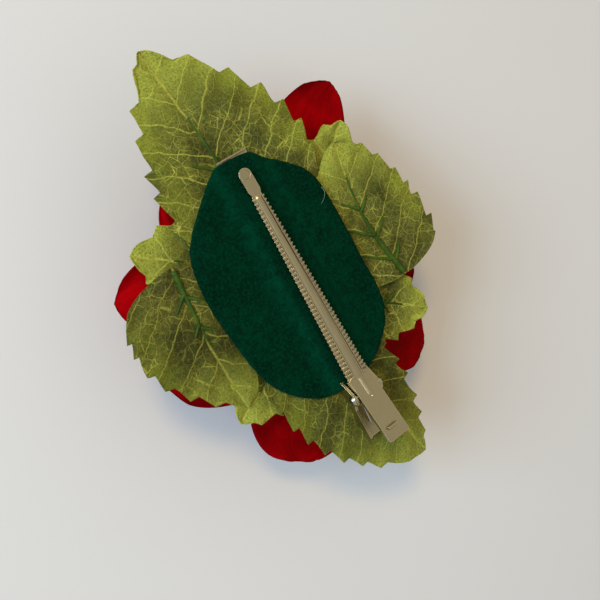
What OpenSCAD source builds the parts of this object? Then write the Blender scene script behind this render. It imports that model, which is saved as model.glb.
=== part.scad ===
// Flower hair clip: a toothed alligator clip under a felt pad, on leaves and a layered cloth flower.
// It lies on its flower: +X runs across the clip, +Y along it to the jaw tip, +Z up out of the back.
// Every length is in millimetres. The clip's own frame has its hinge over (0, 0) and the felt's
// underside at height 0; on_clip() moves that frame to its place above the resting surface.

/* [Placement] */
// X of the clip's centre line from the middle of the object
clip_x = -1; // [-5:0.1:5]
// Y of the hinge from the middle of the object
hinge_y = -33.6; // [-45:0.1:-20]
// Height of the felt's underside above the surface
felt_base_z = 32.8; // [28:0.1:40]

/* [Clip sheet metal] */
// Thickness of the upper arm's sheet
sheet = 0.6; // [0.4:0.05:1]
// Thickness of the lower arm's sheet
base_sheet = 0.8; // [0.5:0.05:1.2]
// Half width of the upper arm at the hinge and thumb tab
tab_half = 3.05; // [2.5:0.05:4]
// Half width of the upper arm at its rounded tip
tip_half = 1.55; // [1.2:0.05:2.5]
// Half width of the lower arm
base_half = 4.05; // [3.5:0.05:5]
// Distance from the hinge to the upper arm's tip
jaw_reach = 59.6; // [50:0.1:65]
// Distance from the hinge to the lower arm's turned-up end
base_reach = 63.3; // [55:0.1:70]
// Length of the thumb tabs behind the hinge
tab_reach = 11.9; // [8:0.1:15]
// Height of the upper tab's end
tab_rise = 8.1; // [6:0.1:10]
// Spacing of the teeth along the jaw
tooth_pitch = 1.05; // [0.8:0.05:1.5]
// Number of teeth on each side
tooth_count = 46; // [30:1:50]

/* [Hinge] */
// Height of the pin's axis
pin_z = 2.9; // [2:0.05:4]
// Radius of the pin
pin_r = 0.75; // [0.5:0.05:1.2]
// Radial clearance of the upper arm on the pin
pin_gap = 0.06; // [0.01:0.01:0.1]
// Radius of the spring wire
wire_r = 0.25; // [0.15:0.05:0.4]
// Radius of the spring's coil at the middle of the wire
coil_r = 1.1; // [0.9:0.05:1.5]

/* [Felt and glue] */
// Thickness of the felt
felt_thick = 1.2; // [0.8:0.1:3]
// Size of the glued area against the felt
glue_ratio = 0.86; // [0.6:0.01:0.95]

/* [Leaves] */
// Thickness of a leaf
leaf_thick = 0.4; // [0.2:0.05:0.6]
// Height of the moulded ribs on the upper leaves
rib_high = 0.8; // [0.4:0.1:1.2]
// Height of the moulded ribs on the lower leaves
rib_low = 0.6; // [0.4:0.1:1.2]
// Teeth on each side of a leaf
leaf_teeth = 7; // [4:1:10]

/* [Flower] */
// X of the flower's centre from the clip's centre line
flower_x = 5; // [-8:0.1:8]
// Y of the flower's centre from the hinge
flower_y = 29; // [20:0.1:40]
// Thickness of a petal sheet
petal_thick = 0.5; // [0.3:0.05:0.8]
// Radius of the hole punched in each petal sheet
punch_r = 1.8; // [1:0.1:3]

/* [Hidden] */
$fa = 4;
$fs = 0.2;

steel = [0.78, 0.76, 0.7];
pin_steel = [0.7, 0.69, 0.66];
felt_green = [0.02, 0.25, 0.15];
leaf_green = [0.42, 0.47, 0.2];
rib_green = [0.15, 0.32, 0.08];
petal_red = [0.55, 0.02, 0.03];
glue_clear = [0.9, 0.88, 0.8];

// Heights of the stack, downwards from the felt
glue_low = -base_sheet;
upper_leaf_z = glue_low - rib_high - leaf_thick;
lower_rib_z = upper_leaf_z - rib_low;
lower_leaf_z = lower_rib_z - leaf_thick;
calyx_high = 0.8;
calyx_z = lower_leaf_z - calyx_high;
petal_step = 0.8;

// The upper arm's top line, from the bend over the hinge
bend_y = 4.5;
bend_z = 4.1;
plain_y = 53;
plain_z = 2.65;
tip_z = 2.2;
jaw_slope = atan2(bend_z - plain_z, plain_y - bend_y);
// The web between the crimped flanges, and the flanges, which splay outwards from it
web_half = 1.15;
web_tip_half = 0.6;
jaw_taper = atan2(web_half - web_tip_half, plain_y - bend_y);
flare = 68;
flange_thick = 0.35;
deep = 2.0;
shallow = 0.95;
crimp_high = 0.27;
crimp_wide = 0.46;
ear_in = 3.4;
// The lower arm's turned-up end
lip_thick = 0.3;
lip_high = 0.45;
// The pressed ridge along the middle: the radius of its round top and how far its axis is sunk
bead_r = 1.3;
bead_sunk = 1.0;
tail_r = 1.2;
imprint_r = 1.15;

// Each leaf: base x, y, tip x, y, half width, how far its ribs reach
top_leaf = [-2, 42, -6, 92, 18.5, 0.8];
bottom_leaf = [-2, 25, 9.3, -24.7, 18, 0.6];
right_leaf = [26.4, 17, 26.5, 53.7, 13.2, 0.76];
left_leaf = [-24.5, 48.5, -25.2, 12.1, 14, 0.55];
upper_right_leaf = [8, 35, 30.1, 54.8, 10.5, 0.7];
lower_right_leaf = [8, 21, 28.8, 5.7, 10, 0.7];
lower_left_leaf = [-4, 22, -28.4, 9.7, 10.5, 0.7];
upper_left_leaf = [-4, 36, -30.5, 55.1, 11, 0.7];

// Each petal of the two open layers: azimuth, reach
outer_petals = [[50, 52], [120, 38], [188, 41], [241, 47.5], [336, 34]];
second_petals = [[12, 36], [84, 42], [157, 44.5], [222, 35], [301, 44.5]];

module on_clip(height = 0) {
    translate([clip_x, hinge_y, felt_base_z + height]) children();
}

module on_flower(height = 0) {
    on_clip(height) translate([flower_x, flower_y, 0]) children();
}

// A side outline drawn as (y, z), given width along X
module across(width) {
    rotate([90, 0, 90]) linear_extrude(width, center = true) children();
}

module along_pin(length, radius) {
    translate([0, 0, pin_z]) rotate([0, 90, 0]) cylinder(length, r = radius, center = true);
}

// ---- upper arm ----

module arm_ribbon() {
    across(3 * tab_half) polygon([
        [jaw_reach, tip_z], [plain_y, plain_z], [bend_y, bend_z], [-tab_reach, tab_rise],
        [-tab_reach - 0.15, tab_rise - sheet], [bend_y, bend_z - sheet],
        [plain_y, plain_z - sheet], [jaw_reach, tip_z - sheet]
    ]);
}

module arm_plan() {
    translate([0, 0, -1]) linear_extrude(12) {
        polygon([
            [-tip_half, jaw_reach - tip_half], [-tip_half, plain_y + 1], [-web_tip_half - 0.1, plain_y - 1],
            [-web_half - 0.1, bend_y + 1], [-tab_half, bend_y + 0.2], [-tab_half, 0.3 - tab_reach],
            [0.3 - tab_half, -tab_reach - 0.2], [tab_half - 0.3, -tab_reach - 0.2], [tab_half, 0.3 - tab_reach],
            [tab_half, bend_y + 0.2], [web_half + 0.1, bend_y + 1], [web_tip_half + 0.1, plain_y - 1],
            [tip_half, plain_y + 1], [tip_half, jaw_reach - tip_half]
        ]);
        translate([0, jaw_reach - tip_half]) circle(tip_half);
    }
}

function flange_depth(u) = deep + (shallow - deep) * u / (tooth_pitch * tooth_count);

// A splayed flange: a thin plate with a crimp standing on it at each tooth, and the tooth below it
module toothed_flange(side) {
    length = tooth_pitch * tooth_count;
    crimps = [for (i = [0 : tooth_count - 1]) let(u = (i + 0.25) * tooth_pitch) each [
        [u, -0.25], [u + 0.06, 0.05 - flange_depth(u)], [u + crimp_wide - 0.06, 0.05 - flange_depth(u)],
        [u + crimp_wide, -0.25]
    ]];
    translate([side * web_half, bend_y, bend_z - 0.2])
        rotate([0, 0, side * jaw_taper]) rotate([-jaw_slope, 0, 0]) rotate([0, -side * flare, 0]) {
            across(flange_thick) polygon([
                [0, 0.05], [0, 0.2 - deep], [length, 0.2 - shallow], [length + 1.2, 0.05]
            ]);
            translate([side * crimp_high / 2, 0, 0]) across(flange_thick + crimp_high)
                polygon(concat([[0, -0.1]], crimps, [[length, -0.1]]));
        }
}

// The ear and the tab's turned-down edge on one side
module arm_ear(side) {
    translate([side * (tab_half - sheet / 2), 0, 0]) across(sheet) difference() {
        union() {
            translate([0, pin_z]) circle(1.8);
            polygon([
                [0.7 - tab_reach, 7.7], [0.9 - tab_reach, 6.85], [-2.4, 4.4], [-1.75, 2.6],
                [1.6, 2.2], [4.3, 2.4], [4.6, 3.9]
            ]);
        }
        translate([0, pin_z]) circle(pin_r + pin_gap);
    }
}

// A straight rounded ridge, mostly sunk in the sheet
module bead_run(from_y, from_z, to_y, to_z, radius) {
    run = norm([to_y - from_y, to_z - from_z]);
    translate([0, from_y, from_z - bead_sunk]) rotate([atan2(to_z - from_z, to_y - from_y) - 90, 0, 0])
        rotate_extrude() intersection() {
            union() {
                circle(radius);
                translate([0, run]) circle(radius);
                translate([-radius, 0]) square([2 * radius, run]);
            }
            translate([0, -radius]) square([radius, run + 2 * radius]);
        }
}

// The space from the middle of the sheet upwards
module above_sheet() {
    across(3 * bead_r) polygon([
        [plain_y + 2, plain_z - sheet / 2], [bend_y, bend_z - sheet / 2], [-tab_reach, tab_rise - sheet / 2],
        [-tab_reach, tab_rise + 2], [bend_y, bend_z + 2], [plain_y + 2, plain_z + 2]
    ]);
}

module bead() {
    tail_z = bend_z + 5 * (tab_rise - bend_z) / (bend_y + tab_reach);
    intersection() {
        above_sheet();
        union() {
            bead_run(plain_y - 1, plain_z, bend_y - 0.2, bend_z, bead_r);
            bead_run(bend_y, bend_z, -0.2, tail_z, tail_r);
        }
    }
    translate([0, -0.9, tail_z - 0.05]) sphere(0.38);
}

module upper_arm() {
    color(steel) on_clip() {
        difference() {
            union() {
                intersection() {
                    arm_ribbon();
                    arm_plan();
                }
                for (side = [-1, 1]) {
                    toothed_flange(side);
                    arm_ear(side);
                }
                bead();
                translate([-0.3, -8.75, 7.75]) cube([2.7, 0.5, 0.9], center = true);
            }
            translate([0, jaw_reach - tip_half, tip_z - 0.02]) cylinder(1, r = imprint_r);
            translate([-0.3, -9.2, 7.5]) cube([2.7, 0.35, 3], center = true);
        }
    }
}

// ---- lower arm, pin and spring ----

module base_ear(side) {
    thick = base_half - ear_in;
    translate([side * (ear_in + thick / 2), 0, 0]) across(thick) difference() {
        union() {
            translate([0, pin_z]) circle(1.65);
            polygon([
                [6.4, -0.1], [3.2, 2.4], [1.0, 4.1], [-1.5, 2.3], [-3.2, 1.35],
                [0.7 - tab_reach, 1.2], [0.4 - tab_reach, 0.6], [0.4 - tab_reach, -0.1]
            ]);
        }
        translate([0, pin_z]) circle(pin_r + 0.02);
    }
}

module lower_arm() {
    color(steel) on_clip() {
        translate([-base_half, 0.4 - tab_reach, -base_sheet])
            cube([2 * base_half, base_reach + tab_reach - 0.6, base_sheet]);
        for (side = [-1, 1]) base_ear(side);
        translate([-base_half + 0.1, base_reach - lip_thick - 0.1, -base_sheet])
            cube([2 * base_half - 0.2, lip_thick, base_sheet + lip_high]);
    }
}

module hinge_pin() {
    color(pin_steel) on_clip() {
        along_pin(2 * base_half + 0.6, pin_r);
        for (side = [-1, 1]) translate([side * (base_half + 0.02), 0, pin_z])
            rotate([0, 90 * side, 0]) cylinder(0.55, r1 = 1.3, r2 = 0.85);
    }
}

module spring_leg(x, start_z, end_y, end_z) {
    run = norm([end_y, end_z - start_z]);
    translate([x, 0, start_z]) rotate([atan2(end_z - start_z, end_y) - 90, 0, 0]) cylinder(run, r = wire_r);
}

module torsion_spring() {
    turns = 8;
    pitch = 0.46;
    color(pin_steel) on_clip() {
        translate([0, 0, pin_z]) rotate([0, 90, 0]) rotate_extrude()
            for (i = [0 : turns - 1]) translate([coil_r, (i - (turns - 1) / 2) * pitch]) circle(wire_r);
        spring_leg(-1.61, pin_z - coil_r, -8, 0.35);
        spring_leg(1.61, pin_z + coil_r, -8, 6.1);
    }
}

// ---- felt and glue ----

module felt_plan() {
    polygon([
        [-3.6, 62.6], [3.8, 62], [12.1, 55.1], [16.6, 48], [17.2, 38.6], [17.5, 17.6], [13.1, 8.9],
        [6.8, 4.2], [-8.9, 4], [-16.8, 10.8], [-20.2, 19.4], [-21.7, 38], [-20.4, 47], [-14.7, 54.5],
        [-6, 61.6]
    ]);
}

module felt_backing() {
    color(felt_green) on_clip() difference() {
        linear_extrude(felt_thick) felt_plan();
        translate([-base_half - 0.3, 0, -1]) cube([2 * base_half + 0.6, 6.7, 4]);
    }
}

// The glue on one side of the lower arm, between the felt and the leaves
module glue_half(side) {
    color(glue_clear) on_clip(glue_low) difference() {
        translate([0, 33 * (1 - glue_ratio), 0]) scale(glue_ratio)
            linear_extrude(base_sheet / glue_ratio) felt_plan();
        translate([side > 0 ? -100 : -base_half, -20, -1]) cube([100 + base_half, 100, 4]);
    }
}

module glue_left() glue_half(-1);
module glue_right() glue_half(1);

// ---- leaves ----

function leaf_length(leaf) = norm([leaf[2] - leaf[0], leaf[3] - leaf[1]]);
function leaf_turn(leaf) = atan2(leaf[3] - leaf[1], leaf[2] - leaf[0]);
function half_width(t, widest) = 0.5 + widest * sin(180 * pow(t, 0.8));

module on_leaf(leaf, height) {
    on_clip(height) translate([leaf[0], leaf[1], 0]) rotate(leaf_turn(leaf)) children();
}

// One serrated leaf, its teeth pointing to the tip
module leaf_blade(leaf) {
    length = leaf_length(leaf);
    edge = [for (i = [0 : leaf_teeth - 1]) each [
        [i / leaf_teeth * length, 0.9 * half_width(i / leaf_teeth, leaf[4])],
        [(i + 0.8) / leaf_teeth * length, 0.3 + half_width((i + 0.8) / leaf_teeth, leaf[4])]
    ]];
    mirrored = [for (i = [len(edge) - 1 : -1 : 0]) [edge[i][0], -edge[i][1]]];
    linear_extrude(leaf_thick) polygon(concat(edge, [[length, 0]], mirrored));
}

// The moulded skeleton on a leaf: a tapering midrib and three pairs of side ribs
module leaf_rib(leaf, high) {
    reach = leaf_length(leaf) * leaf[5];
    linear_extrude(high) {
        polygon([[0, 0.9], [reach, 0.25], [reach, -0.25], [0, -0.9]]);
        for (t = [0.3, 0.55, 0.78], side = [-1, 1])
            translate([reach * t, 0]) rotate(side * 38)
                polygon([[0, 0.4], [leaf[4] * (1 - t) * 0.9, 0.2], [leaf[4] * (1 - t) * 0.9, -0.2], [0, -0.4]]);
    }
}

module upper_leaf(leaf) {
    color(leaf_green) on_leaf(leaf, upper_leaf_z) leaf_blade(leaf);
}

module lower_leaf(leaf) {
    color(leaf_green) on_leaf(leaf, lower_leaf_z) leaf_blade(leaf);
}

module upper_rib(leaf) {
    color(rib_green) on_leaf(leaf, upper_leaf_z + leaf_thick) leaf_rib(leaf, rib_high);
}

module lower_rib(leaf) {
    color(rib_green) on_leaf(leaf, lower_rib_z) leaf_rib(leaf, rib_low);
}

module leaf_top() upper_leaf(top_leaf);
module leaf_bottom() upper_leaf(bottom_leaf);
module leaf_left() upper_leaf(left_leaf);
module leaf_right() upper_leaf(right_leaf);
module leaf_upper_left() lower_leaf(upper_left_leaf);
module leaf_upper_right() lower_leaf(upper_right_leaf);
module leaf_lower_left() lower_leaf(lower_left_leaf);
module leaf_lower_right() lower_leaf(lower_right_leaf);
module rib_top() upper_rib(top_leaf);
module rib_bottom() lower_rib(bottom_leaf);
module rib_left() upper_rib(left_leaf);
module rib_right() upper_rib(right_leaf);
module rib_upper_left() lower_rib(upper_left_leaf);
module rib_upper_right() lower_rib(upper_right_leaf);
module rib_lower_left() lower_rib(lower_left_leaf);
module rib_lower_right() lower_rib(lower_right_leaf);

// ---- flower ----

// A shell of one sphere, opening downwards, cut to the outline of its petals
module open_petals(layer, radius, petals, lobe, hub) {
    color(petal_red) on_flower(calyx_z - layer * petal_step) difference() {
        intersection() {
            difference() {
                translate([0, 0, -radius]) sphere(radius);
                translate([0, 0, -radius]) sphere(radius - petal_thick);
            }
            translate([0, 0, -40]) linear_extrude(41) {
                circle(hub);
                for (petal = petals) rotate(petal[0]) {
                    translate([petal[1] - 1.45 * lobe, 0]) circle(lobe);
                    translate([petal[1] - 0.6 * lobe, 0]) circle(0.6 * lobe);
                }
            }
        }
        cylinder(6, r = punch_r, center = true);
    }
}

// Half the section of a cup, cut off level at its rim: a quarter circle, on a straight wall if it is tall
module cup_section(radius, high) {
    intersection() {
        translate([0, -radius]) circle(radius);
        translate([0, -min(radius, high)]) square([radius, min(radius, high)]);
    }
    if (high > radius) translate([0, -high]) square([radius, high - radius]);
}

// A cup of standing petals, opening downwards, notched between the petals
module cupped_petals(layer, radius, high, count, notch) {
    color(petal_red) on_flower(calyx_z - layer * petal_step) difference() {
        rotate_extrude() difference() {
            cup_section(radius, high);
            translate([0, -petal_thick]) cup_section(radius - petal_thick, high);
            translate([0, -2]) square([punch_r, 4]);
        }
        for (i = [0 : count - 1]) rotate(layer * 16 + i * 360 / count)
            translate([0.7 * radius, 0, -high]) rotate([0, 90, 0]) cylinder(radius, r = notch);
    }
}

module petals_outer() open_petals(0, 86, outer_petals, 15, 22);
module petals_second() open_petals(1, 70, second_petals, 14, 20);
module petals_middle() cupped_petals(2, 30, 26.4, 5, 9);
module petals_inner() cupped_petals(3, 21, 26.6, 5, 8);
module petals_heart() cupped_petals(4, 13.5, 24.5, 4, 6);

module flower_bud() {
    color(petal_red) on_flower(calyx_z - 10) {
        translate([0, 0, -8]) sphere(8);
        translate([0, 0, -11]) sphere(6.5);
    }
}

module core_peg() {
    color(rib_green) on_flower(calyx_z - 10) cylinder(10, r = punch_r - 0.2);
}

module calyx_disc() {
    color(rib_green) on_flower(calyx_z) cylinder(calyx_high, r = 12);
}

upper_arm();
lower_arm();
hinge_pin();
torsion_spring();
felt_backing();
glue_left();
glue_right();
leaf_top();
leaf_bottom();
leaf_left();
leaf_right();
leaf_upper_left();
leaf_upper_right();
leaf_lower_left();
leaf_lower_right();
rib_top();
rib_bottom();
rib_left();
rib_right();
rib_upper_left();
rib_upper_right();
rib_lower_left();
rib_lower_right();
petals_outer();
petals_second();
petals_middle();
petals_inner();
petals_heart();
flower_bud();
core_peg();
calyx_disc();
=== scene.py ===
import math
import random
from collections import namedtuple

import bpy
import numpy as np
from mathutils import Matrix, Vector, noise


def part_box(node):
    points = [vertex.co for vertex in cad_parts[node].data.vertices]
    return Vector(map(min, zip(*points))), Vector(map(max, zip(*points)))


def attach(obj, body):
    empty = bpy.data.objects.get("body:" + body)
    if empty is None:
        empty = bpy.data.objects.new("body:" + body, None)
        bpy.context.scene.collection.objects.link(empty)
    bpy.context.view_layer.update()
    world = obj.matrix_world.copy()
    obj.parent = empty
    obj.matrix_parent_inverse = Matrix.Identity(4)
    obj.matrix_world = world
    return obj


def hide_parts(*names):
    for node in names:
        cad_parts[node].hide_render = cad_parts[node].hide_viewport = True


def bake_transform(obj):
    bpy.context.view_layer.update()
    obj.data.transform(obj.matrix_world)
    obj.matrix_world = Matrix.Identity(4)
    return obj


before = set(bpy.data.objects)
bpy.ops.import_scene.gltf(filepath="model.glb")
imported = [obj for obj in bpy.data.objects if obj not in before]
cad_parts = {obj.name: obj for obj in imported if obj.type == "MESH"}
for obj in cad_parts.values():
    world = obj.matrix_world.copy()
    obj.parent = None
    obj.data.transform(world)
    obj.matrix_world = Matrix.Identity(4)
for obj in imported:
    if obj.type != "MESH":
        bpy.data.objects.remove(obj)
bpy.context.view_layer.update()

MM = 0.001
BASE = "flower_and_base"

# ---- thicknesses and gaps, in millimetres ----

LEAF_CLOTH = 0.25
PETAL_CLOTH = 0.28
FELT_THICK = 1.2
LOOSE_FIBRE = 0.018  # radius of a wool fibre
LOOSE_THREAD = 0.06  # radius of the stray thread
TABLE_GAP = 0.15  # least height of a petal over the table

# ---- places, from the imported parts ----

pin_low, pin_high = (Vector(c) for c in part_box("hinge_pin"))
felt_low = Vector(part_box("felt_backing")[0])
peg_low, peg_high = (Vector(c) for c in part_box("core_peg"))
pin = (pin_low + pin_high) / 2
clip_origin = Vector((pin.x, pin.y, felt_low.z))  # over the hinge, at the felt's underside
flower_axis = (peg_low + peg_high) / 2


def on_clip(x, y, z):
    """A point in metres from its place in millimetres from the hinge."""
    return clip_origin + Vector((x, y, z)) * MM


# ---- meshes ----

def make_object(name, points, faces):
    """A smooth mesh object."""
    mesh = bpy.data.meshes.new(name)
    mesh.from_pydata([tuple(p) for p in points], [], [tuple(int(i) for i in f) for f in faces])
    mesh.update()
    mesh.polygons.foreach_set("use_smooth", [True] * len(mesh.polygons))
    obj = bpy.data.objects.new(name, mesh)
    bpy.context.scene.collection.objects.link(obj)
    return obj


def store(obj, name, vectors):
    """Keeps one vector for each point, which the material reads back."""
    attribute = obj.data.attributes.new(name, "FLOAT_VECTOR", "POINT")
    attribute.data.foreach_set("vector", np.asarray(vectors, np.float32).ravel())


def grid_faces(rows, columns, start=0, closed=False):
    """Quads between rows of points; closed joins each row's end to its start."""
    faces = []
    for i in range(rows - 1):
        for j in range(columns if closed else columns - 1):
            k = (j + 1) % columns
            a, b = start + i * columns, start + (i + 1) * columns
            faces.append((a + j, a + k, b + k, b + j))
    return faces


def tube(path, radii, sides=8):
    """Points and faces of a round bar along a path, with closed ends."""
    path = [Vector(p) for p in path]
    points, faces = [], []
    for i, p in enumerate(path):
        ahead = (path[min(i + 1, len(path) - 1)] - path[max(i - 1, 0)]).normalized()
        side = ahead.cross(Vector((0, 0, 1)))
        if side.length < 0.01:
            side = Vector((1, 0, 0))
        side.normalize()
        up = side.cross(ahead)
        for k in range(sides):
            a = 2 * math.pi * k / sides
            points.append(p + radii[i] * (math.cos(a) * side + math.sin(a) * up))
    faces = grid_faces(len(path), sides, closed=True)
    faces.append(tuple(range(sides))[::-1])
    last = (len(path) - 1) * sides
    faces.append(tuple(range(last, last + sides)))
    return points, faces


def joined(parts):
    """Several points-and-faces pairs as one."""
    points, faces = [], []
    for p, f in parts:
        faces += [tuple(i + len(points) for i in face) for face in f]
        points += p
    return points, faces


def thicken(obj, millimetres):
    """Gives a sheet its thickness, half on each side."""
    modifier = obj.modifiers.new("thickness", "SOLIDIFY")
    modifier.thickness, modifier.offset = millimetres * MM, 0.0
    modifier.use_even_offset = False


def smoothstep(low, high, x):
    """Rises smoothly from 0 at low to 1 at high."""
    t = min(max((x - low) / (high - low), 0.0), 1.0)
    return t * t * (3 - 2 * t)


# ---- node helpers ----

class Shader:
    """A material being built: make() adds a node and links or sets its inputs."""

    def __init__(self, name):
        self.material = bpy.data.materials.new(name)
        self.material.use_nodes = True
        self.tree = self.material.node_tree
        self.surface = self.tree.nodes["Principled BSDF"]

    def plug(self, socket, value):
        """Links a socket to another, or sets its value."""
        if isinstance(value, bpy.types.NodeSocket):
            self.tree.links.new(value, socket)
        elif hasattr(value, "__len__") and len(value) == 3 and socket.type == "RGBA":
            socket.default_value = (*value, 1.0)
        else:
            socket.default_value = value

    def make(self, kind, inputs=None, out=0, **settings):
        node = self.tree.nodes.new(kind)
        for key, value in settings.items():
            setattr(node, key, value)
        for key, value in (inputs or {}).items():
            self.plug(node.inputs[key], value)
        return node.outputs[out]

    def set(self, **values):
        """Plugs the main shader's inputs, with _ for each space in their names."""
        for key, value in values.items():
            self.plug(self.surface.inputs[key.replace("_", " ")], value)

    def math(self, operation, a, b=0.0):
        return self.make("ShaderNodeMath", {0: a, 1: b}, operation=operation)

    def weighted(self, a, a_share, b, b_share):
        """Two values added in given shares."""
        return self.math("ADD", self.math("MULTIPLY", a, a_share), self.math("MULTIPLY", b, b_share))

    def place(self):
        return self.make("ShaderNodeTexCoord", out="Object")

    def stretched(self, scale):
        return self.make("ShaderNodeVectorMath", {0: self.place(), 1: scale}, operation="MULTIPLY")

    def noise(self, scale, detail=3.0, rough=0.55, vector=None):
        return self.make("ShaderNodeTexNoise", {"Vector": vector or self.place(), "Scale": scale,
                                                "Detail": detail, "Roughness": rough})

    def cells(self, scale, vector):
        """Distance to the nearest edge of a net of cells."""
        return self.make("ShaderNodeTexVoronoi", {"Vector": vector, "Scale": scale},
                         out="Distance", feature="DISTANCE_TO_EDGE")

    def ramp(self, value, low, high, first=0.0, last=1.0):
        """Goes smoothly from first to last as the value goes from low to high."""
        return self.make("ShaderNodeMapRange", {"Value": value, "From Min": low, "From Max": high,
                                                "To Min": first, "To Max": last},
                         interpolation_type="SMOOTHSTEP")

    def mix(self, factor, a, b, blend="MIX"):
        node = self.tree.nodes.new("ShaderNodeMix")
        node.data_type, node.blend_type = "RGBA", blend
        self.plug(node.inputs[0], factor)
        self.plug(node.inputs[6], a)
        self.plug(node.inputs[7], b)
        return node.outputs[2]

    def bump(self, height, distance, strength=1.0, normal=None):
        inputs = {"Height": height, "Distance": distance, "Strength": strength}
        if normal:
            inputs["Normal"] = normal
        return self.make("ShaderNodeBump", inputs)

    def attribute(self, name):
        """The three numbers that store() kept for each point."""
        vector = self.make("ShaderNodeAttribute", out="Vector", attribute_name=name)
        node = self.tree.nodes.new("ShaderNodeSeparateXYZ")
        self.plug(node.inputs[0], vector)
        return node.outputs


# ---- materials ----

def felt_material():
    """Short green wool: faint clouds, a fine matted grain, and painted light: a paler band along the flanks
    of the ridge over the arm.
    """
    s = Shader("felt")
    cloud, grain, fibre = s.noise(90, 3), s.noise(1500, 4, 0.7), s.noise(4200, 4, 0.7)
    x = s.make("ShaderNodeSeparateXYZ", {0: s.place()}, out=0)
    from_arm = s.math("ABSOLUTE", s.math("SUBTRACT", x, pin.x))
    # painted light: the felt is paler from 2.5 to 9.5 mm either side of the arm, where the ridge's flanks
    # catch the light
    ridge_painted_light = s.math("MULTIPLY", s.ramp(from_arm, 2.5 * MM, 5.5 * MM),
                     s.ramp(from_arm, 6.5 * MM, 9.5 * MM, 1, 0))
    colour = s.mix(s.ramp(cloud, 0.38, 0.64), (0.0, 0.015, 0.006), (0.0, 0.024, 0.010))
    colour = s.mix(s.math("MULTIPLY", ridge_painted_light, 0.7), colour, (0.0, 0.037, 0.017))
    colour = s.mix(s.ramp(s.noise(520, 2, 0.5), 0.40, 0.62, 0.55, 0.0), colour, (0.0, 0.010, 0.004))
    colour = s.mix(s.ramp(grain, 0.42, 0.7, 0.0, 0.6), colour, (0.0, 0.050, 0.023))
    colour = s.mix(s.ramp(fibre, 0.55, 0.8, 0.0, 0.5), colour, (0.001, 0.068, 0.033))
    relief = s.weighted(grain, 0.7, fibre, 0.4)
    s.set(Base_Color=colour, Roughness=1.0, Normal=s.bump(relief, 0.0004, 0.9))
    s.set(Specular_IOR_Level=0.03, Sheen_Weight=0.03, Sheen_Roughness=0.5, Sheen_Tint=(0.0, 0.5, 0.25))
    return s.material


def nap_material():
    """Loose wool, paler than the felt it comes from."""
    s = Shader("felt_nap")
    s.set(Base_Color=s.mix(s.ramp(s.noise(700, 3), 0.4, 0.65), (0.001, 0.05, 0.024), (0.01, 0.10, 0.055)),
          Roughness=0.9)
    s.set(Specular_IOR_Level=0.1)
    return s.material


def thread_material():
    """The one pale thread caught on the felt."""
    s = Shader("stray_thread")
    s.set(Base_Color=s.mix(s.noise(2000, 3), (0.12, 0.22, 0.13), (0.3, 0.38, 0.26)), Roughness=0.7)
    return s.material


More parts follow.
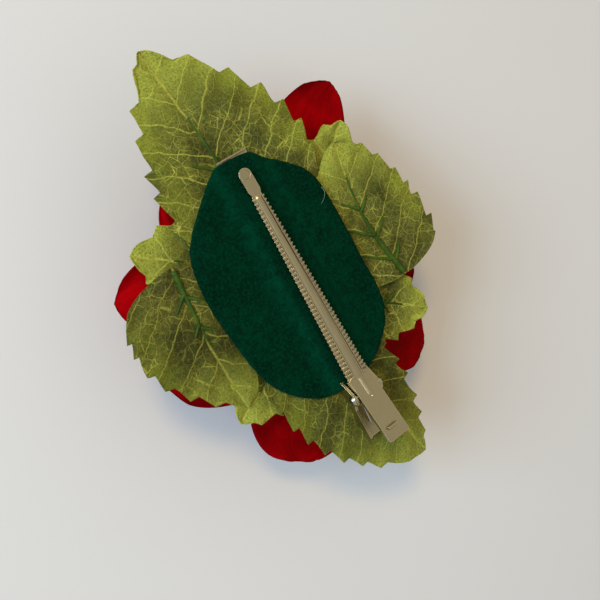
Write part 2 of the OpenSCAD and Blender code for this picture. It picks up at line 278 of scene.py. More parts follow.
def leaf_material(name, shade=1.0):
    """Printed cloth: olive, browner at its foot, yellower to its tip and edges, with a net of pale veins."""
    s = Shader(name)
    along, across, side = s.attribute("leaf")
    flat = s.make("ShaderNodeCombineXYZ", {0: along, 1: across, 2: 0.0})

    def flat_noise(scale, detail=3.0, out=0):  # in millimetres over the leaf
        return s.make("ShaderNodeTexNoise", {"Vector": flat, "Scale": scale, "Detail": detail}, out=out)

    def tint(red, green, blue):  # a colour scaled by this leaf's share, which on the darker copy is painted shade
        return (red * shade, green * shade, blue * shade)

    wander = s.make("ShaderNodeVectorMath", {0: flat_noise(0.22, 2.0, out="Color"), 1: (2.6, 2.6, 0.0)},
                    operation="MULTIPLY")
    bent = s.make("ShaderNodeVectorMath", {0: flat, 1: wander}, operation="ADD")
    away = s.math("ABSOLUTE", across)
    patch, blotch = flat_noise(0.10, 4.0), flat_noise(0.05, 2.0)
    slant = s.math("SUBTRACT", along, s.math("MULTIPLY", away, 0.8))
    slant = s.math("ADD", slant, s.math("MULTIPLY", flat_noise(0.12, 3.0), 5.0))
    branches = s.ramp(s.math("PINGPONG", slant, 3.6), 0.04, 0.34, 0.95, 0.0)
    drift = s.math("MULTIPLY", s.math("SUBTRACT", flat_noise(0.15), 0.5), 1.6)
    midrib = s.ramp(s.math("ABSOLUTE", s.math("SUBTRACT", across, drift)), 0.10, 0.45, 1.0, 0.0)
    net = s.ramp(s.cells(0.34, bent), 0.0, 0.04, 1.0, 0.0)
    fine = s.ramp(s.cells(0.80, bent), 0.0, 0.08, 0.4, 0.0)
    main, small = s.math("MAXIMUM", branches, midrib), s.math("MAXIMUM", net, fine)
    veins = s.math("MAXIMUM", main, small)
    rim = s.ramp(s.math("ABSOLUTE", side), 0.45, 1.0)
    clear = s.math("ADD", s.ramp(patch, 0.42, 0.60, 0.3, 0.9), s.math("MULTIPLY", rim, 0.1))
    shown = s.math("MAXIMUM", s.math("MULTIPLY", main, 0.8), s.math("MULTIPLY", small, clear))
    tone = s.mix(s.ramp(patch, 0.38, 0.62), tint(0.050, 0.056, 0.008), tint(0.165, 0.168, 0.020))
    tone = s.mix(s.ramp(blotch, 0.5, 0.62, 0.0, 0.6), tone, tint(0.062, 0.082, 0.020))
    edge_light = s.math("MULTIPLY", rim, s.ramp(flat_noise(0.07, 2.0), 0.4, 0.6, 0.1, 0.75))
    tone = s.mix(edge_light, tone, tint(0.300, 0.350, 0.026))
    reach = s.attribute("reach")[0]
    tone = s.mix(s.ramp(reach, 0.0, 0.5, 0.5, 0.0), tone, tint(0.085, 0.080, 0.020))
    tone = s.mix(s.ramp(reach, 0.55, 0.95, 0.0, 0.8), tone, tint(0.420, 0.470, 0.060))
    colour = s.mix(s.math("MULTIPLY", shown, 0.9), tone, tint(0.56, 0.56, 0.085))
    speck, grit = s.noise(2400, 3, 0.65), s.noise(1100, 2, 0.5)
    colour = s.mix(s.ramp(speck, 0.42, 0.72, 0.0, 0.6), colour, tint(0.036, 0.040, 0.008))
    colour = s.mix(s.ramp(grit, 0.52, 0.75, 0.0, 0.4), colour, tint(0.26, 0.27, 0.045))

    def threads(direction):
        return s.make("ShaderNodeTexWave", {"Vector": flat, "Scale": 1.1, "Distortion": 0.6}, out="Fac",
                      bands_direction=direction)

    weave = s.bump(s.math("ADD", threads("X"), threads("Y")), 0.00006, 0.6)
    s.set(Base_Color=colour, Roughness=0.8, Normal=s.bump(veins, 0.00014, 0.6, weave))
    s.set(Specular_IOR_Level=0.12, Sheen_Weight=0.03, Sheen_Roughness=0.5, Sheen_Tint=(0.8, 0.8, 0.2))
    return s.material


def rib_material():
    """Moulded green plastic with a slight mottle."""
    s = Shader("rib_plastic")
    grain, mottle = s.noise(900, 3), s.noise(300, 3)
    colour = s.mix(s.ramp(mottle, 0.35, 0.65), (0.022, 0.058, 0.003), (0.048, 0.100, 0.005))
    s.set(Base_Color=colour, Roughness=s.ramp(grain, 0.3, 0.7, 0.45, 0.65),
          Normal=s.bump(grain, 0.0001, 0.5))
    s.set(Subsurface_Weight=0.1, Subsurface_Scale=0.001, Specular_IOR_Level=0.2)
    return s.material


def petal_material(name, deep, bright):
    """Velvet: soft folds along the petal, a fine nap, and a thin darker rim."""
    s = Shader(name)
    from_rim, along, across = s.attribute("petal")
    broad, nap, pile = s.noise(80, 3), s.noise(1500, 4, 0.6), s.noise(5200, 3, 0.6)
    colour = s.mix(s.ramp(broad, 0.35, 0.68), deep, bright)
    lengthwise = s.make("ShaderNodeCombineXYZ", {0: s.math("MULTIPLY", along, 0.02),
                                                 1: s.math("MULTIPLY", across, 4.0), 2: 0.0})
    fold = s.make("ShaderNodeTexNoise", {"Vector": lengthwise, "Scale": 2.2, "Detail": 4.0})
    colour = s.mix(s.ramp(fold, 0.45, 0.75, 0.0, 0.3), colour, tuple(c * 0.5 for c in deep))
    colour = s.mix(s.ramp(nap, 0.5, 0.8, 0.0, 0.3), colour, tuple(min(1, c * 1.3) for c in bright))
    colour = s.mix(s.ramp(pile, 0.5, 0.8, 0.0, 0.3), colour, tuple(c * 0.5 for c in deep))
    colour = s.mix(s.ramp(from_rim, 0.08, 0.35, 0.55, 0.0), colour, (0.05, 0.0, 0.002))
    relief = s.math("ADD", s.weighted(nap, 0.6, pile, 0.5), s.math("MULTIPLY", fold, 1.5))
    s.set(Base_Color=colour, Roughness=0.82, Normal=s.bump(relief, 0.00014, 0.7))
    s.set(Specular_IOR_Level=0.02, Sheen_Weight=0.06, Sheen_Roughness=0.4, Sheen_Tint=(1.0, 0.0, 0.0))
    return s.material


PAINTED_CREVICE_SHARES = (0.24, 0.18, 0.12)  # shares of a metal's red, green and blue left in its crevices as painted shade


def metal_material(name, colour, rough, along=(1.0, 0.04, 1.0), crevice=0.0008):
    """Plated steel: a faint drawn grain, dull patches, painted highlight brightening its edges, and painted
    shade darkening its crevices.
    """
    s = Shader(name)
    grain = s.noise(7000, 3, 0.5, s.stretched(along))
    cloud, wear = s.noise(140, 4, 0.6), s.noise(900, 4, 0.7)
    tone = s.mix(s.ramp(cloud, 0.35, 0.7), colour, tuple(c * 0.88 for c in colour))
    tone = s.mix(s.ramp(wear, 0.64, 0.8, 0.0, 0.15), tone, tuple(c * 0.7 for c in colour))
    roughness = s.math("ADD", s.ramp(grain, 0.3, 0.7, rough - 0.03, rough + 0.04),
                       s.ramp(cloud, 0.4, 0.7, 0, 0.08))

    def rounded_normal(radius):
        return s.make("ShaderNodeBevel", {"Radius": radius}, samples=6)

    softened = rounded_normal(0.00008)
    flatness = s.make("ShaderNodeVectorMath", {0: rounded_normal(0.0003),
                                               1: s.make("ShaderNodeNewGeometry", out="True Normal")},
                      out="Value", operation="DOT_PRODUCT")
    # painted highlight: at edges, where the rounded normal turns from the true normal, the colour is
    # brightened up to 1.9 times
    painted_edge_highlight = tuple(min(1.0, c * 1.9) for c in colour)
    tone = s.mix(s.ramp(flatness, 0.80, 0.99, 0.75, 0.0), tone, painted_edge_highlight)
    # painted shade: ambient occlusion darkens the colour toward the crevice shares in gaps and crevices
    openness = s.make("ShaderNodeAmbientOcclusion", {"Distance": crevice}, out="AO",
                      samples=8, only_local=True)
    crevice_painted_shade = tuple(c * share for c, share in zip(colour, PAINTED_CREVICE_SHARES))
    tone = s.mix(s.ramp(openness, 0.5, 0.84, 0.95, 0.0), tone, crevice_painted_shade)
    s.set(Base_Color=tone, Roughness=roughness, Metallic=1.0,
          Normal=s.bump(grain, 0.000001, 0.25, softened))
    return s.material


def glue_material():
    """Set hot glue: cloudy, pale and glossy."""
    s = Shader("glue")
    blotch = s.noise(300, 3)
    s.set(Base_Color=s.mix(blotch, (0.62, 0.58, 0.46), (0.8, 0.77, 0.66)), Roughness=0.3,
          Normal=s.bump(blotch, 0.0004, 0.5))
    s.set(Subsurface_Weight=0.3, Subsurface_Scale=0.002)
    return s.material


def floor_material():
    """A plain pale table."""
    s = Shader("table")
    fine, broad = s.noise(900, 4, 0.6), s.noise(6, 3)
    s.set(Base_Color=s.mix(broad, (0.66, 0.66, 0.65), (0.70, 0.70, 0.695)), Roughness=0.6,
          Normal=s.bump(fine, 0.00005, 0.4))
    return s.material


FELT, NAP, THREAD = felt_material(), nap_material(), thread_material()
RIB, GLUE = rib_material(), glue_material()
# the darker copy is painted shade: the bottom and left leaves get 0.64 of the colour instead of 0.88
LEAF_LIGHT, LEAF_PAINTED_SHADE = leaf_material("leaf_cloth", 0.88), leaf_material("leaf_cloth_painted_shade", 0.64)
PETAL = petal_material("petal_velvet", (0.20, 0.0, 0.001), (0.37, 0.0, 0.002))
HEART = petal_material("heart_velvet", (0.16, 0.0, 0.001), (0.31, 0.0, 0.002))
CHAMPAGNE = (0.50, 0.43, 0.25)
CLIP = metal_material("clip_plate", CHAMPAGNE, 0.28)
ARM = metal_material("lower_plate", CHAMPAGNE, 0.28, crevice=0.002)
PIN = metal_material("pin_plate", (0.50, 0.47, 0.38), 0.22, (0.04, 1.0, 1.0))
WIRE = metal_material("spring_wire", (0.55, 0.53, 0.5), 0.25, (0.3, 1.0, 1.0))


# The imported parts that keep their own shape
for part, material in {"upper_arm": CLIP, "lower_arm": ARM, "hinge_pin": PIN,
                       "core_peg": RIB, "calyx_disc": RIB}.items():
    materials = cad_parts[part].data.materials
    materials.clear()
    materials.append(material)


# ---- leaves and their ribs ----

Plan = namedtuple("Plan", "base tip wide lean bow taper z droop pitch depth reach first blunt")
# Ends, half width, how much wider its right half is, sideways bow, how fast its left and right halves
# narrow to the tip, height, droop, tooth spacing and depth, rib reach, how far back from its end the first
# side ribs stand, and how blunt the tip is
LEAVES = {
    "top": Plan((-2, 42), (-6, 92), 19.6, 0.16, -0.8, (1.3, 1.28), -1.4, 1.5, 6.3, 2.1, 33, 14.2, 1.5),
    "bottom": Plan((-2, 25), (9.3, -24.7), 15.5, 0.36, 0.0, (0.9, 0.65), -1.4, 2.2, 5.0, 1.6, 30, 5.3, 0),
    "left": Plan((-24.5, 48.5), (-25.2, 12.1), 14.2, 0.1, -0.9, (0.7, 1.1), -1.4, 1.4, 4.6, 1.5, 19, 4.8, 0),
    "right": Plan((26.4, 17), (26.5, 53.7), 16.0, 0.0, 3.0, (0.7, 0.7), -1.4, 1.2, 4.9, 1.5, 28, 8.5, 0),
    "upper_left": Plan((-4, 36), (-30.5, 55.1), 11, 0.0, 0.0, (0.75, 0.75), -2.8, 0.8, 4.6, 1.5, 23, 5.3, 0),
    "upper_right": Plan((8, 35), (31, 57.3), 10.5, 0.0, 0.0, (0.9, 0.75), -2.8, 0.8, 4.6, 1.5, 21, 5.3, 0),
    "lower_left": Plan((-4, 22), (-28.4, 9.7), 10.5, 0.0, 0.0, (0.75, 0.75), -2.8, 0.8, 4.6, 1.5, 19, 5.3, 0),
    "lower_right": Plan((8, 21), (28.8, 5.7), 10, 0.0, 0.0, (0.75, 0.75), -2.8, 0.8, 4.6, 1.5, 18, 5.3, 0),
}
WIDEST = 0.35  # how far along a leaf it is widest
RIB_STEP = 7.5  # between the pairs of side ribs
# the leaves that get the darker copy, as painted shade
PAINTED_SHADE_LEAVES = ("bottom", "left")
PATTERN_STEP = 40  # keeps each leaf's printed pattern apart from the others'


class Leaf:
    """A leaf's surface: s runs from 0 at its base to 1 at its tip, v from -1 (right) to 1 (left)."""

    def __init__(self, name):
        self.plan = LEAVES[name]
        (self.x, self.y), (tip_x, tip_y) = self.plan.base, self.plan.tip
        self.length = math.hypot(tip_x - self.x, tip_y - self.y)
        self.turn = math.atan2(tip_y - self.y, tip_x - self.x)
        self.seed = 1.7 * list(LEAVES).index(name) + 1.0

    def half_width(self, s, side=0):
        """Half width on one side (1 left, -1 right), or between the two where side is 0."""
        wide = self.plan.wide * (1 - self.plan.lean * side)
        if s < WIDEST:
            return wide * math.sqrt(max(1 - ((WIDEST - s) / WIDEST) ** 3.5, 0))
        taper = self.plan.taper[0 if side > 0 else 1]
        rounding = math.sqrt(max(1 - max(0, (s - 0.92) / 0.08) ** 2, 0))
        blunt = self.plan.blunt * smoothstep(0.5, 0.9, s) * rounding
        return wide * max(1 - ((s - WIDEST) / (1 - WIDEST)) ** 2, 0) ** taper + blunt

    def tooth(self, s, side):
        """How far the edge stands out: teeth of uneven size that lean to the tip."""
        t = s * self.length / self.plan.pitch + (0.4 if side > 0 else 0.0)
        t += 0.35 * noise.noise(Vector((s * 6, self.seed, side)))
        part = t % 1.0
        size = 0.45 + 0.9 * (0.5 + 0.5 * noise.noise(Vector((math.floor(t) * 1.7, self.seed, side))))
        rise = (part / 0.82) ** 1.4 if part < 0.82 else (1 - part) / 0.18
        fade = smoothstep(0.03, 0.2, s) * (1 - 0.75 * smoothstep(0.88, 1.0, s))
        return self.plan.depth * (rise * size - 0.35) * fade

    def height(self, s, v):
        """Folded at the midrib, quilted between side veins, drooping to its tip."""
        across = abs(v) * self.half_width(s)
        plan = self.plan
        between_veins = 2 * math.pi * (s * self.length - 0.85 * across) / RIB_STEP
        quilt = 0.2 * math.cos(between_veins) * min(1, across / 3)
        wave = noise.noise(Vector((s * 3.1, v * 1.2, self.seed))) * 1.1
        dents = noise.noise(Vector((s * self.length * 0.5, v * plan.wide * 0.5, self.seed))) * 0.16
        lift = 0.35 * min(across, 2) - 0.045 * max(across - 2, 0) * (1 + s)
        free = smoothstep(0.35, 1.0, s) + 0.5 * smoothstep(0.5, 1, abs(v))
        droop = plan.droop * smoothstep(0.3, 1.0, s) ** 1.5
        return plan.z + quilt + dents + lift * 0.6 + wave * free - droop

    def place(self, x, y, z):
        """The scene's point, from millimetres along and across the leaf and its height."""
        cos, sin = math.cos(self.turn), math.sin(self.turn)
        return on_clip(self.x + cos * x - sin * y, self.y + sin * x + cos * y, z)

    def point(self, s, v):
        side = 1 if v >= 0 else -1
        tooth = self.tooth(s, side) * abs(v) ** 7
        x = s * self.length + 0.5 * tooth
        y = v * self.half_width(s, side) + side * tooth + self.plan.bow * math.sin(math.pi * s)
        return self.place(x, y, self.height(s, v))

    def above(self, x, y, lift):
        """A point over the leaf, from its place in millimetres along and across the midrib."""
        s = min(max(x / self.length, 0.0), 1.0)
        v = min(max(y / max(self.half_width(s, math.copysign(1, y)), 0.5), -1.0), 1.0)
        return self.place(x, y + self.plan.bow * math.sin(math.pi * s), self.height(s, v) + lift)


def build_leaf(name, rows=300, columns=37):
    """One leaf's cloth, with what its material reads stored at each point."""
    leaf = Leaf(name)
    points, kept, reach = [], [], []
    for i in range(rows):
        t = i / (rows - 1)
        s = t - 0.06 * math.sin(2 * math.pi * t)
        reach += [(s, 0, 0)] * columns
        for j in range(columns):
            v = math.sin((2 * j / (columns - 1) - 1) * math.pi / 2)
            points.append(leaf.point(s, v))
            across = v * leaf.half_width(s, math.copysign(1, v))
            kept.append((s * leaf.length + PATTERN_STEP * leaf.seed, across, v))
    obj = make_object("leaf_" + name + "_cloth", points, grid_faces(rows, columns))
    store(obj, "leaf", kept)
    store(obj, "reach", reach)
    thicken(obj, LEAF_CLOTH)
    # painted shade: the listed leaves take the darker copy
    obj.data.materials.append(LEAF_PAINTED_SHADE if name in PAINTED_SHADE_LEAVES else LEAF_LIGHT)
    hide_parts("leaf_" + name)
    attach(obj, BASE)
    return leaf


def build_rib(name, leaf):
    """The moulded skeleton: a tapering midrib with pairs of side ribs."""
    lift = -0.35 if name == "bottom" else 0.3  # the bottom leaf's rib is sunk into its cloth
    thick = 0.85 if leaf.length > 36 else 0.65
    reach = leaf.plan.reach

    def run(x0, y0, x1, y1, r0, r1, steps=16):
        path, radii = [], []
        for k in range(steps):
            t = k / (steps - 1)
            path.append(leaf.above(x0 + (x1 - x0) * t, y0 + (y1 - y0) * t ** 0.9, lift))
            radii.append((r0 + (r1 - r0) * t ** 0.8) * MM)
        return tube(path, radii)

    parts = [run(0.02 * leaf.length, 0, reach, 0, thick, 0.2, 30)]
    back, branch = leaf.plan.first, 3.6 + 0.35 * (leaf.plan.first - 5.3)
    while reach - back > 2:
        for side in (-1, 1):
            x, long = reach - back + 0.4 * side, branch * (1 + 0.12 * side)
            parts.append(run(x, 0, x + 0.62 * long, 0.78 * side * long, 0.56, 0.15))
        back, branch = back + RIB_STEP, min(branch + 2.0, 7.0)
    points, faces = joined(parts)
    obj = make_object("rib_" + name + "_skeleton", points, faces)
    obj.data.materials.append(RIB)
    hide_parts("rib_" + name)
    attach(obj, BASE)


for leaf_name in LEAVES:
    build_rib(leaf_name, build_leaf(leaf_name))


# ---- felt and glue ----

# Corners of the felt's outline and a point in its middle, in millimetres from the hinge
FELT_MIDDLE = np.array([-2.0, 32.0])
FELT_EDGE = [(-3.6, 62.6), (3.8, 62.0), (7.2, 59.2), (12.1, 55.1), (15.2, 51.6), (16.8, 46.5), (17.2, 38.6),
             (17.1, 28), (17.4, 18), (15.6, 12), (12, 7.6), (6.8, 4.3), (0, 3.6), (-5, 2.9), (-10.5, 4.7),
             (-16.4, 10.2), (-19.6, 17), (-21.1, 27), (-21.8, 38), (-20.4, 47), (-17.4, 52), (-11.5, 57.4),
             (-6.4, 61.4)]


def rounded(corners, steps=10):
    """A smooth closed line through the corners."""
    n, line = len(corners), []
    for i in range(n):
        a, b, c, d = (np.array(corners[(i + k) % n], float) for k in (-1, 0, 1, 2))
        for k in range(steps):
            t = k / steps
            line.append(0.5 * (2 * b + (c - a) * t + (2 * a - 5 * b + 4 * c - d) * t * t
                               + (3 * b - 3 * c + d - a) * t ** 3))
    return line


def felt_top(x, y):
    """The felt's upper face: a ridge over the lower arm, slack and uneven beside it."""
    ridge = 1 - smoothstep(4.0, 6.8, abs(x))
    slack = noise.noise(Vector((x * 0.09, y * 0.09, 3.0))) * 0.35
    lumps = noise.noise(Vector((x * 0.6, y * 0.6, 9.0))) * 0.07
    return 0.42 + 0.76 * ridge + (1 - ridge) * slack + lumps


# From the felt's middle out over its top and back under it: share of the way out, share of the thickness down
FELT_RINGS = 46
FELT_TOP = [(k / FELT_RINGS * 0.985, 0.0) for k in range(1, FELT_RINGS)]
FELT_SIDE = [(0.993, 0.06), (0.998, 0.2), (1.0, 0.45), (1.0, 0.8), (0.996, 1.0)]
FELT_UNDER = [(0.985, 1.0), (0.8, 1.0), (0.4, 1.0)]


def build_felt():
    """The felt pad, with a rounded and slightly ragged edge."""
    line = rounded(FELT_EDGE)
    profile = FELT_TOP + FELT_SIDE + FELT_UNDER
    points = [on_clip(*FELT_MIDDLE, felt_top(*FELT_MIDDLE))]
    for q, drop in profile:
        for edge in line:
            ragged = 0.16 * noise.noise(Vector((edge[0] * 1.3, edge[1] * 1.3, 1.0))) * q ** 6
            out = edge - FELT_MIDDLE
            x, y = FELT_MIDDLE + out * (q + ragged / np.linalg.norm(out))
            points.append(on_clip(x, y, felt_top(x, y) - drop * FELT_THICK))
    points.append(on_clip(*FELT_MIDDLE, felt_top(*FELT_MIDDLE) - FELT_THICK))
    n, rows = len(line), len(profile)
    faces = [(0, 1 + k, 1 + (k + 1) % n) for k in range(n)]
    faces += [(a, d, c, b) for a, b, c, d in grid_faces(rows, n, 1, True)]
    last, first = len(points) - 1, 1 + (rows - 1) * n
    faces += [(last, first + (k + 1) % n, first + k) for k in range(n)]
    obj = make_object("felt_pad", points, faces)
    obj.data.materials.append(FELT)
    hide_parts("felt_backing")
    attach(obj, BASE)


def power(value, exponent):
    """A power that keeps the value's sign."""
    return math.copysign(abs(value) ** exponent, value)


def build_glue(name, side):
    """An uneven bead of glue beside the lower arm."""
    low, high = (Vector(c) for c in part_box(name))
    points, rows, columns = [], 60, 16
    for i in range(rows):
        t = i / (rows - 1)
        y = low.y + (high.y - low.y) * t
        full = math.sqrt(max(1 - (2 * t - 1) ** 4, 0.02))
        inner = high.x if side < 0 else low.x
        width = (high.x - low.x) * full * (0.86 + 0.1 * noise.noise(Vector((t * 9, side, 2))))
        middle = inner + side * width / 2
        for j in range(columns):
            a = 2 * math.pi * j / columns
            x = middle + power(math.cos(a), 0.5) * width / 2
            z = (low.z + high.z) / 2 + power(math.sin(a), 0.6) * (high.z - low.z) * 0.45
            points.append((x, y, z))
    faces = grid_faces(rows, columns, closed=True)
    faces += [tuple(range(columns))[::-1], tuple(range((rows - 1) * columns, rows * columns))]
    obj = make_object(name + "_bead", points, faces)
    obj.data.materials.append(GLUE)
    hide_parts(name)
    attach(obj, BASE)


def fibre(path, radius):
    """A single fibre, thinner at its free end."""
    radii = [radius * (1 - 0.6 * k / (len(path) - 1)) for k in range(len(path))]
    return tube(path, radii, 4)


def build_fuzz(count=420):
    """Loose wool along the felt's edge and here and there on its face."""
    draw = random.Random(11)
    line = rounded(FELT_EDGE)
    parts = []
    for k in range(count):
        edge = line[int(draw.random() * len(line))]
        on_edge = k % 3 != 0
        reach = 0.985 if on_edge else draw.uniform(0.3, 0.97)
        x, y = FELT_MIDDLE + (edge - FELT_MIDDLE) * reach
        outward = math.atan2(edge[1] - FELT_MIDDLE[1], edge[0] - FELT_MIDDLE[0])
        heading = outward + draw.uniform(-1.2, 1.2)
        length, curl = draw.uniform(0.35, 0.9), draw.uniform(-1.2, 1.2)
        z = felt_top(x, y) - (draw.uniform(0.1, 0.9) if on_edge else 0.03)
        rise = draw.uniform(-0.1, 0.35) if on_edge else draw.uniform(0.15, 0.5)
        path = []
        for _ in range(5):
            path.append(on_clip(x, y, z))
            heading += curl / 4
            x, y = x + math.cos(heading) * length / 4, y + math.sin(heading) * length / 4
            z += rise * length / 4
        parts.append(fibre(path, LOOSE_FIBRE * MM))
    points, faces = joined(parts)
    obj = make_object("felt_fuzz", points, faces)
    obj.data.materials.append(NAP)
    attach(obj, BASE)


def build_thread(steps=13):
    """A curled thread caught on the felt's right edge."""
    path = []
    for k in range(steps):
        t = k / (steps - 1)
        x, y = 16.0 - 2.2 * t + 0.8 * math.sin(3 * t), 46.6 - 3.4 * t
        path.append(on_clip(x, y, 1.0 + 0.5 * math.sin(math.pi * t)))
    points, faces = fibre(path, LOOSE_THREAD * MM)
    obj = make_object("stray_thread", points, faces)
    obj.data.materials.append(THREAD)
    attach(obj, BASE)


build_felt()
build_fuzz()
build_thread()
build_glue("glue_left", -1)
build_glue("glue_right", 1)


# ---- petals ----

def open_arc(radius, reach):
    """Length over a bowl from its middle out to a reach."""
    return radius * math.asin(reach / radius)


def bowl(radius, wall_start, arc):
    """Reach, drop and slope of a bowl's section, an arc length from its middle."""
    turned = min(arc, wall_start)
    angle = turned / radius
    reach, drop = radius * math.sin(angle), radius * (1 - math.cos(angle))
    spare = arc - turned
    return reach + spare * math.cos(angle), drop + spare * math.sin(angle), angle


def petal_width(s, point):
    """Half width along a petal: narrow at its foot, widest past the middle, then closing to its tip."""
    grow = 0.42 + 0.58 * math.sin(math.pi / 2 * min(1.0, s / 0.62))
    tip = max(0.0, 1 - max(0.0, (s - 0.62) / 0.38) ** 2.2) ** point
    return grow * tip


Petal = namedtuple("Petal", "azimuth arc wide point lift skew")
HUB = 3.0  # from the flower's axis to where the petals part
SHEET_DEPTH = 0.35  # of a sheet's middle below its CAD part's top


def petal_stand(s, v, half, spread, seeds, bend, lift):
    """How far a petal stands off its bowl: ruffled, wavy, curled back at its rim, ridged at its foot."""
    seed, turn = seeds
    ruffle, curl, tilt = bend
    rim = abs(v) ** 3 * s * spread
    away = ruffle * rim * math.sin(11.0 * s + seed + turn * 2.3 + 2.1 * math.copysign(1, v))
    away += 0.9 * noise.noise(Vector((s * 2.2, v * spread * 1.3 + turn * 5, seed))) * s
    away += 0.25 * noise.noise(Vector((s * 7.0, v * spread * 5.0 + turn * 5, seed + 3))) * s
    away += curl * smoothstep(0.7, 1.0, s) ** 2 + tilt * v * (1 - 0.3 * s) * spread
    away += 0.45 * curl * smoothstep(0.55, 1.0, abs(v)) ** 2 * smoothstep(0.3, 0.8, s) * spread
    away += 0.35 * math.exp(-(v * half) ** 2 / 1.2) * (1 - s) + lift * s ** 3
    return away


def flower_point(reach, angle, z):
    """A point from its reach and turn round the flower's axis."""
    return flower_axis.x + reach * math.cos(angle) * MM, flower_axis.y + reach * math.sin(angle) * MM, z


def petal_sheet(name, node, radius, petals, seed, material, bend=(0.8, 1.5, 0.28), rows=60, columns=31):
    """One punched sheet of petals, bent to a bowl, with bend as its ruffle, curl and tilt."""
    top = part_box(node)[1][2]
    points, faces, kept = [], [], []
    area, wall = 0.0, radius * math.pi / 2
    for turn, petal in enumerate(petals):
        start, run = len(points), petal.arc - HUB
        for i in range(rows):
            part = math.pi / 2 * i / (rows - 1)
            s = math.sin(part) ** 0.9
            arc = HUB + run * s
            reach, drop, slope = bowl(radius, wall, arc)
            half = min(petal.wide * petal_width(s, petal.point), 0.72 * reach + 0.4)
            spread = min(1.0, half / 5.0)
            area += 2 * half * run * (math.pi / 2 / rows) * math.cos(part)
            for j in range(columns):
                v = 2 * j / (columns - 1) - 1
                angle = math.radians(petal.azimuth + petal.skew * s ** 3) + v * half / max(reach, HUB)
                away = petal_stand(s, v, half, spread, (seed, turn), bend, petal.lift)
                z = max(top + (away * math.cos(slope) - drop - SHEET_DEPTH) * MM, TABLE_GAP * MM)
                points.append(flower_point(reach + away * math.sin(slope), angle, z))
                kept.append((min((1 - abs(v)) * half, (1 - s) * run), arc, v))
        faces += grid_faces(rows, columns, start)
    ring, start = 24, len(points)
    for reach in (1.8, 3.4):
        points += [flower_point(reach, 2 * math.pi * k / ring, top - SHEET_DEPTH * MM) for k in range(ring)]
        kept += [(9.0, reach, 0.0)] * ring
    faces += grid_faces(2, ring, start, True)
    obj = make_object(name, points, faces)
    store(obj, "petal", kept)
    thicken(obj, PETAL_CLOTH)
    obj.data.materials.append(material)
    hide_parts(node)
    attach(obj, BASE)


def cup(first, count, arc, wide):
    """Equal petals standing round a cup."""
    return [Petal(first + 360 * k / count, arc, wide, 0.5, 0.0, 0.0) for k in range(count)]


OUTER_R, SECOND_R, MIDDLE_R, INNER_R, HEART_R = 86, 70, 30, 21, 13.5
# Azimuth, reach, half width, how pointed (small is blunt), how far the tip is lifted and skewed
OUTER = [(60.5, 47.5, 11.0, 0.8, 4.5, -13), (120, 38, 15, 0.6, 0, 0), (188, 41, 15, 0.6, 0, 0),
         (242, 45.5, 16, 0.42, 0, 0), (336, 31, 15, 0.6, 0, 0)]
SECOND = [(12, 33, 15, 0.6, 0, 0), (84, 42, 15, 0.6, 0, 0), (155, 43.2, 11.5, 0.8, 0.5, 2),
          (222, 35, 15, 0.6, 0, 0), (302, 42.6, 12.5, 0.7, 1.5, 0)]


def open_layer(name, node, radius, petals, seed):
    """A nearly flat sheet whose petals show past the leaves."""
    flat = [Petal(azimuth, open_arc(radius, reach), *rest) for azimuth, reach, *rest in petals]
    petal_sheet(name, node, radius, flat, seed, PETAL)


open_layer("outer_petals", "petals_outer", OUTER_R, OUTER, 1.0)
open_layer("second_petals", "petals_second", SECOND_R, SECOND, 2.0)
petal_sheet("middle_petals", "petals_middle", MIDDLE_R, cup(20, 5, 43.5, 21), 3.0, PETAL, (1.0, 3.0, 0.5))
petal_sheet("inner_petals", "petals_inner", INNER_R, cup(48, 5, 38.3, 16.5), 4.0, PETAL, (0.8, 2.0, 0.5))
petal_sheet("heart_petals", "petals_heart", HEART_R, cup(10, 4, 31.3, 12.5), 5.0, HEART, (0.6, 1.2, 0.45))


def build_bud():
    """Petals rolled into a spiral around the flower's middle."""
    low, high = (Vector(c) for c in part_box("flower_bud"))
    points, kept, rows, columns = [], [], 22, 150
    turns, inner, middle, outer = 3.1, 1.1, 4.1, 7.0
    tall = (high.z - low.z) / MM
    for i in range(rows):
        h = i / (rows - 1)
        for j in range(columns):
            t = j / (columns - 1)
            angle = t * turns * 2 * math.pi
            spread = inner + (outer - inner) * t
            if h < 0.6:
                shape = 0.35 + 0.65 * math.sin(math.pi * (0.5 * h + 0.22))
            else:
                shape = 0.985 - 0.25 * (h - 0.6)
            lip = 0.7 * smoothstep(0.8, 1.0, h) * math.sin(angle * 1.7 + 1)
            r = spread * shape + lip * 0.5 + 0.25 * noise.noise(Vector((angle, h * 2, 4)))
            drop = h * tall * (0.93 - 0.12 * t + 0.05 * math.sin(angle * 1.3)) + 0.4
            points.append(flower_point(r, angle, high.z - drop * MM))
            kept.append(((1 - h) * tall, h * tall, math.sin(angle)))
    obj = make_object("rolled_bud", points, grid_faces(rows, columns))
    store(obj, "petal", kept)
    thicken(obj, PETAL_CLOTH)
    obj.data.materials.append(HEART)
    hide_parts("flower_bud")
    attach(obj, BASE)


build_bud()


# ---- spring ----

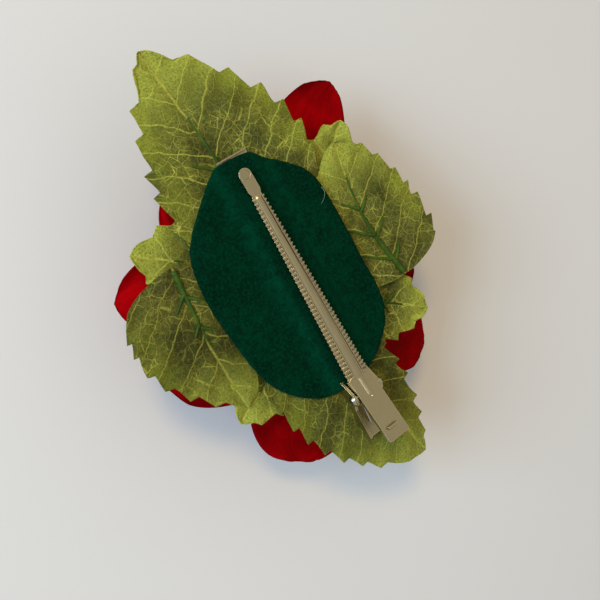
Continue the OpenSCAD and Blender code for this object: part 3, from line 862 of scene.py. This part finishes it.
def build_spring(turns=7.5, wire=0.25, coil=1.1, width=3.2, steps=24):
    """A torsion spring on the pin: one leg under the upper tab, one on the lower arm."""
    low_end, high_end = on_clip(-width / 2, -8, 0.35), on_clip(width / 2, -8, 6.1)
    total = int(turns * steps)
    coils = []
    for k in range(total + 1):
        a = -math.pi / 2 - 2 * math.pi * k / steps
        x = -width / 2 + width * k / total
        coils.append(pin + Vector((x, coil * math.cos(a), coil * math.sin(a))) * MM)
    path = [low_end.lerp(coils[0], k / 12) for k in range(12)] + coils
    path += [coils[-1].lerp(high_end, k / 12) for k in range(1, 13)]
    points, faces = tube(path, [wire * MM] * len(path), 10)
    obj = make_object("spring_wire", points, faces)
    obj.data.materials.append(WIRE)
    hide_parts("torsion_spring")
    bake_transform(obj)


build_spring()


# ---- floor, light, camera ----

bpy.ops.mesh.primitive_plane_add(size=4.0, location=(0, 0, -0.0002))
floor = bpy.context.object
floor.name = "table"
floor.data.materials.append(floor_material())

# The photo's viewpoint: where the camera stands, and which ways its picture runs
viewpoint = on_clip(-75.1, 70.7, 177.8)
picture_right = Vector((0.768, -0.474, 0.432))
picture_up = Vector((0.523, 0.852, 0.004))
look = Vector((0.370, -0.223, -0.902))


def area_light(name, direction, distance, size, watts, colour):
    """A square soft light that faces the object."""
    light = bpy.data.lights.new(name, "AREA")
    light.shape, light.size, light.energy, light.color = "SQUARE", size, watts, colour
    obj = bpy.data.objects.new(name, light)
    bpy.context.scene.collection.objects.link(obj)
    obj.location = Vector(direction).normalized() * distance
    obj.rotation_euler = (-obj.location).to_track_quat("-Z", "Y").to_euler()


area_light("cool_window", (-0.851, 0.525, 0.66), 1.0, 0.5, 9.2, (0.55, 0.76, 1.0))
area_light("warm_lamp", (-0.18, 0.53, 0.83), 1.1, 0.2, 4.0, (1.0, 0.66, 0.26))

world = bpy.data.worlds.new("room")
world.use_nodes = True
background = world.node_tree.nodes["Background"]
background.inputs["Color"].default_value = (1.0, 0.96, 0.88, 1)
background.inputs["Strength"].default_value = 0.48
bpy.context.scene.world = world

camera_data = bpy.data.cameras.new("camera")
camera_data.lens, camera_data.sensor_width = 51.0, 36.0
camera_data.clip_start = 0.01
camera = bpy.data.objects.new("camera", camera_data)
bpy.context.scene.collection.objects.link(camera)
turn = Matrix((picture_right, picture_up, -look)).transposed()
camera.matrix_world = Matrix.Translation(viewpoint) @ turn.to_4x4()
bpy.context.scene.camera = camera
bpy.context.scene.view_settings.view_transform = "Standard"
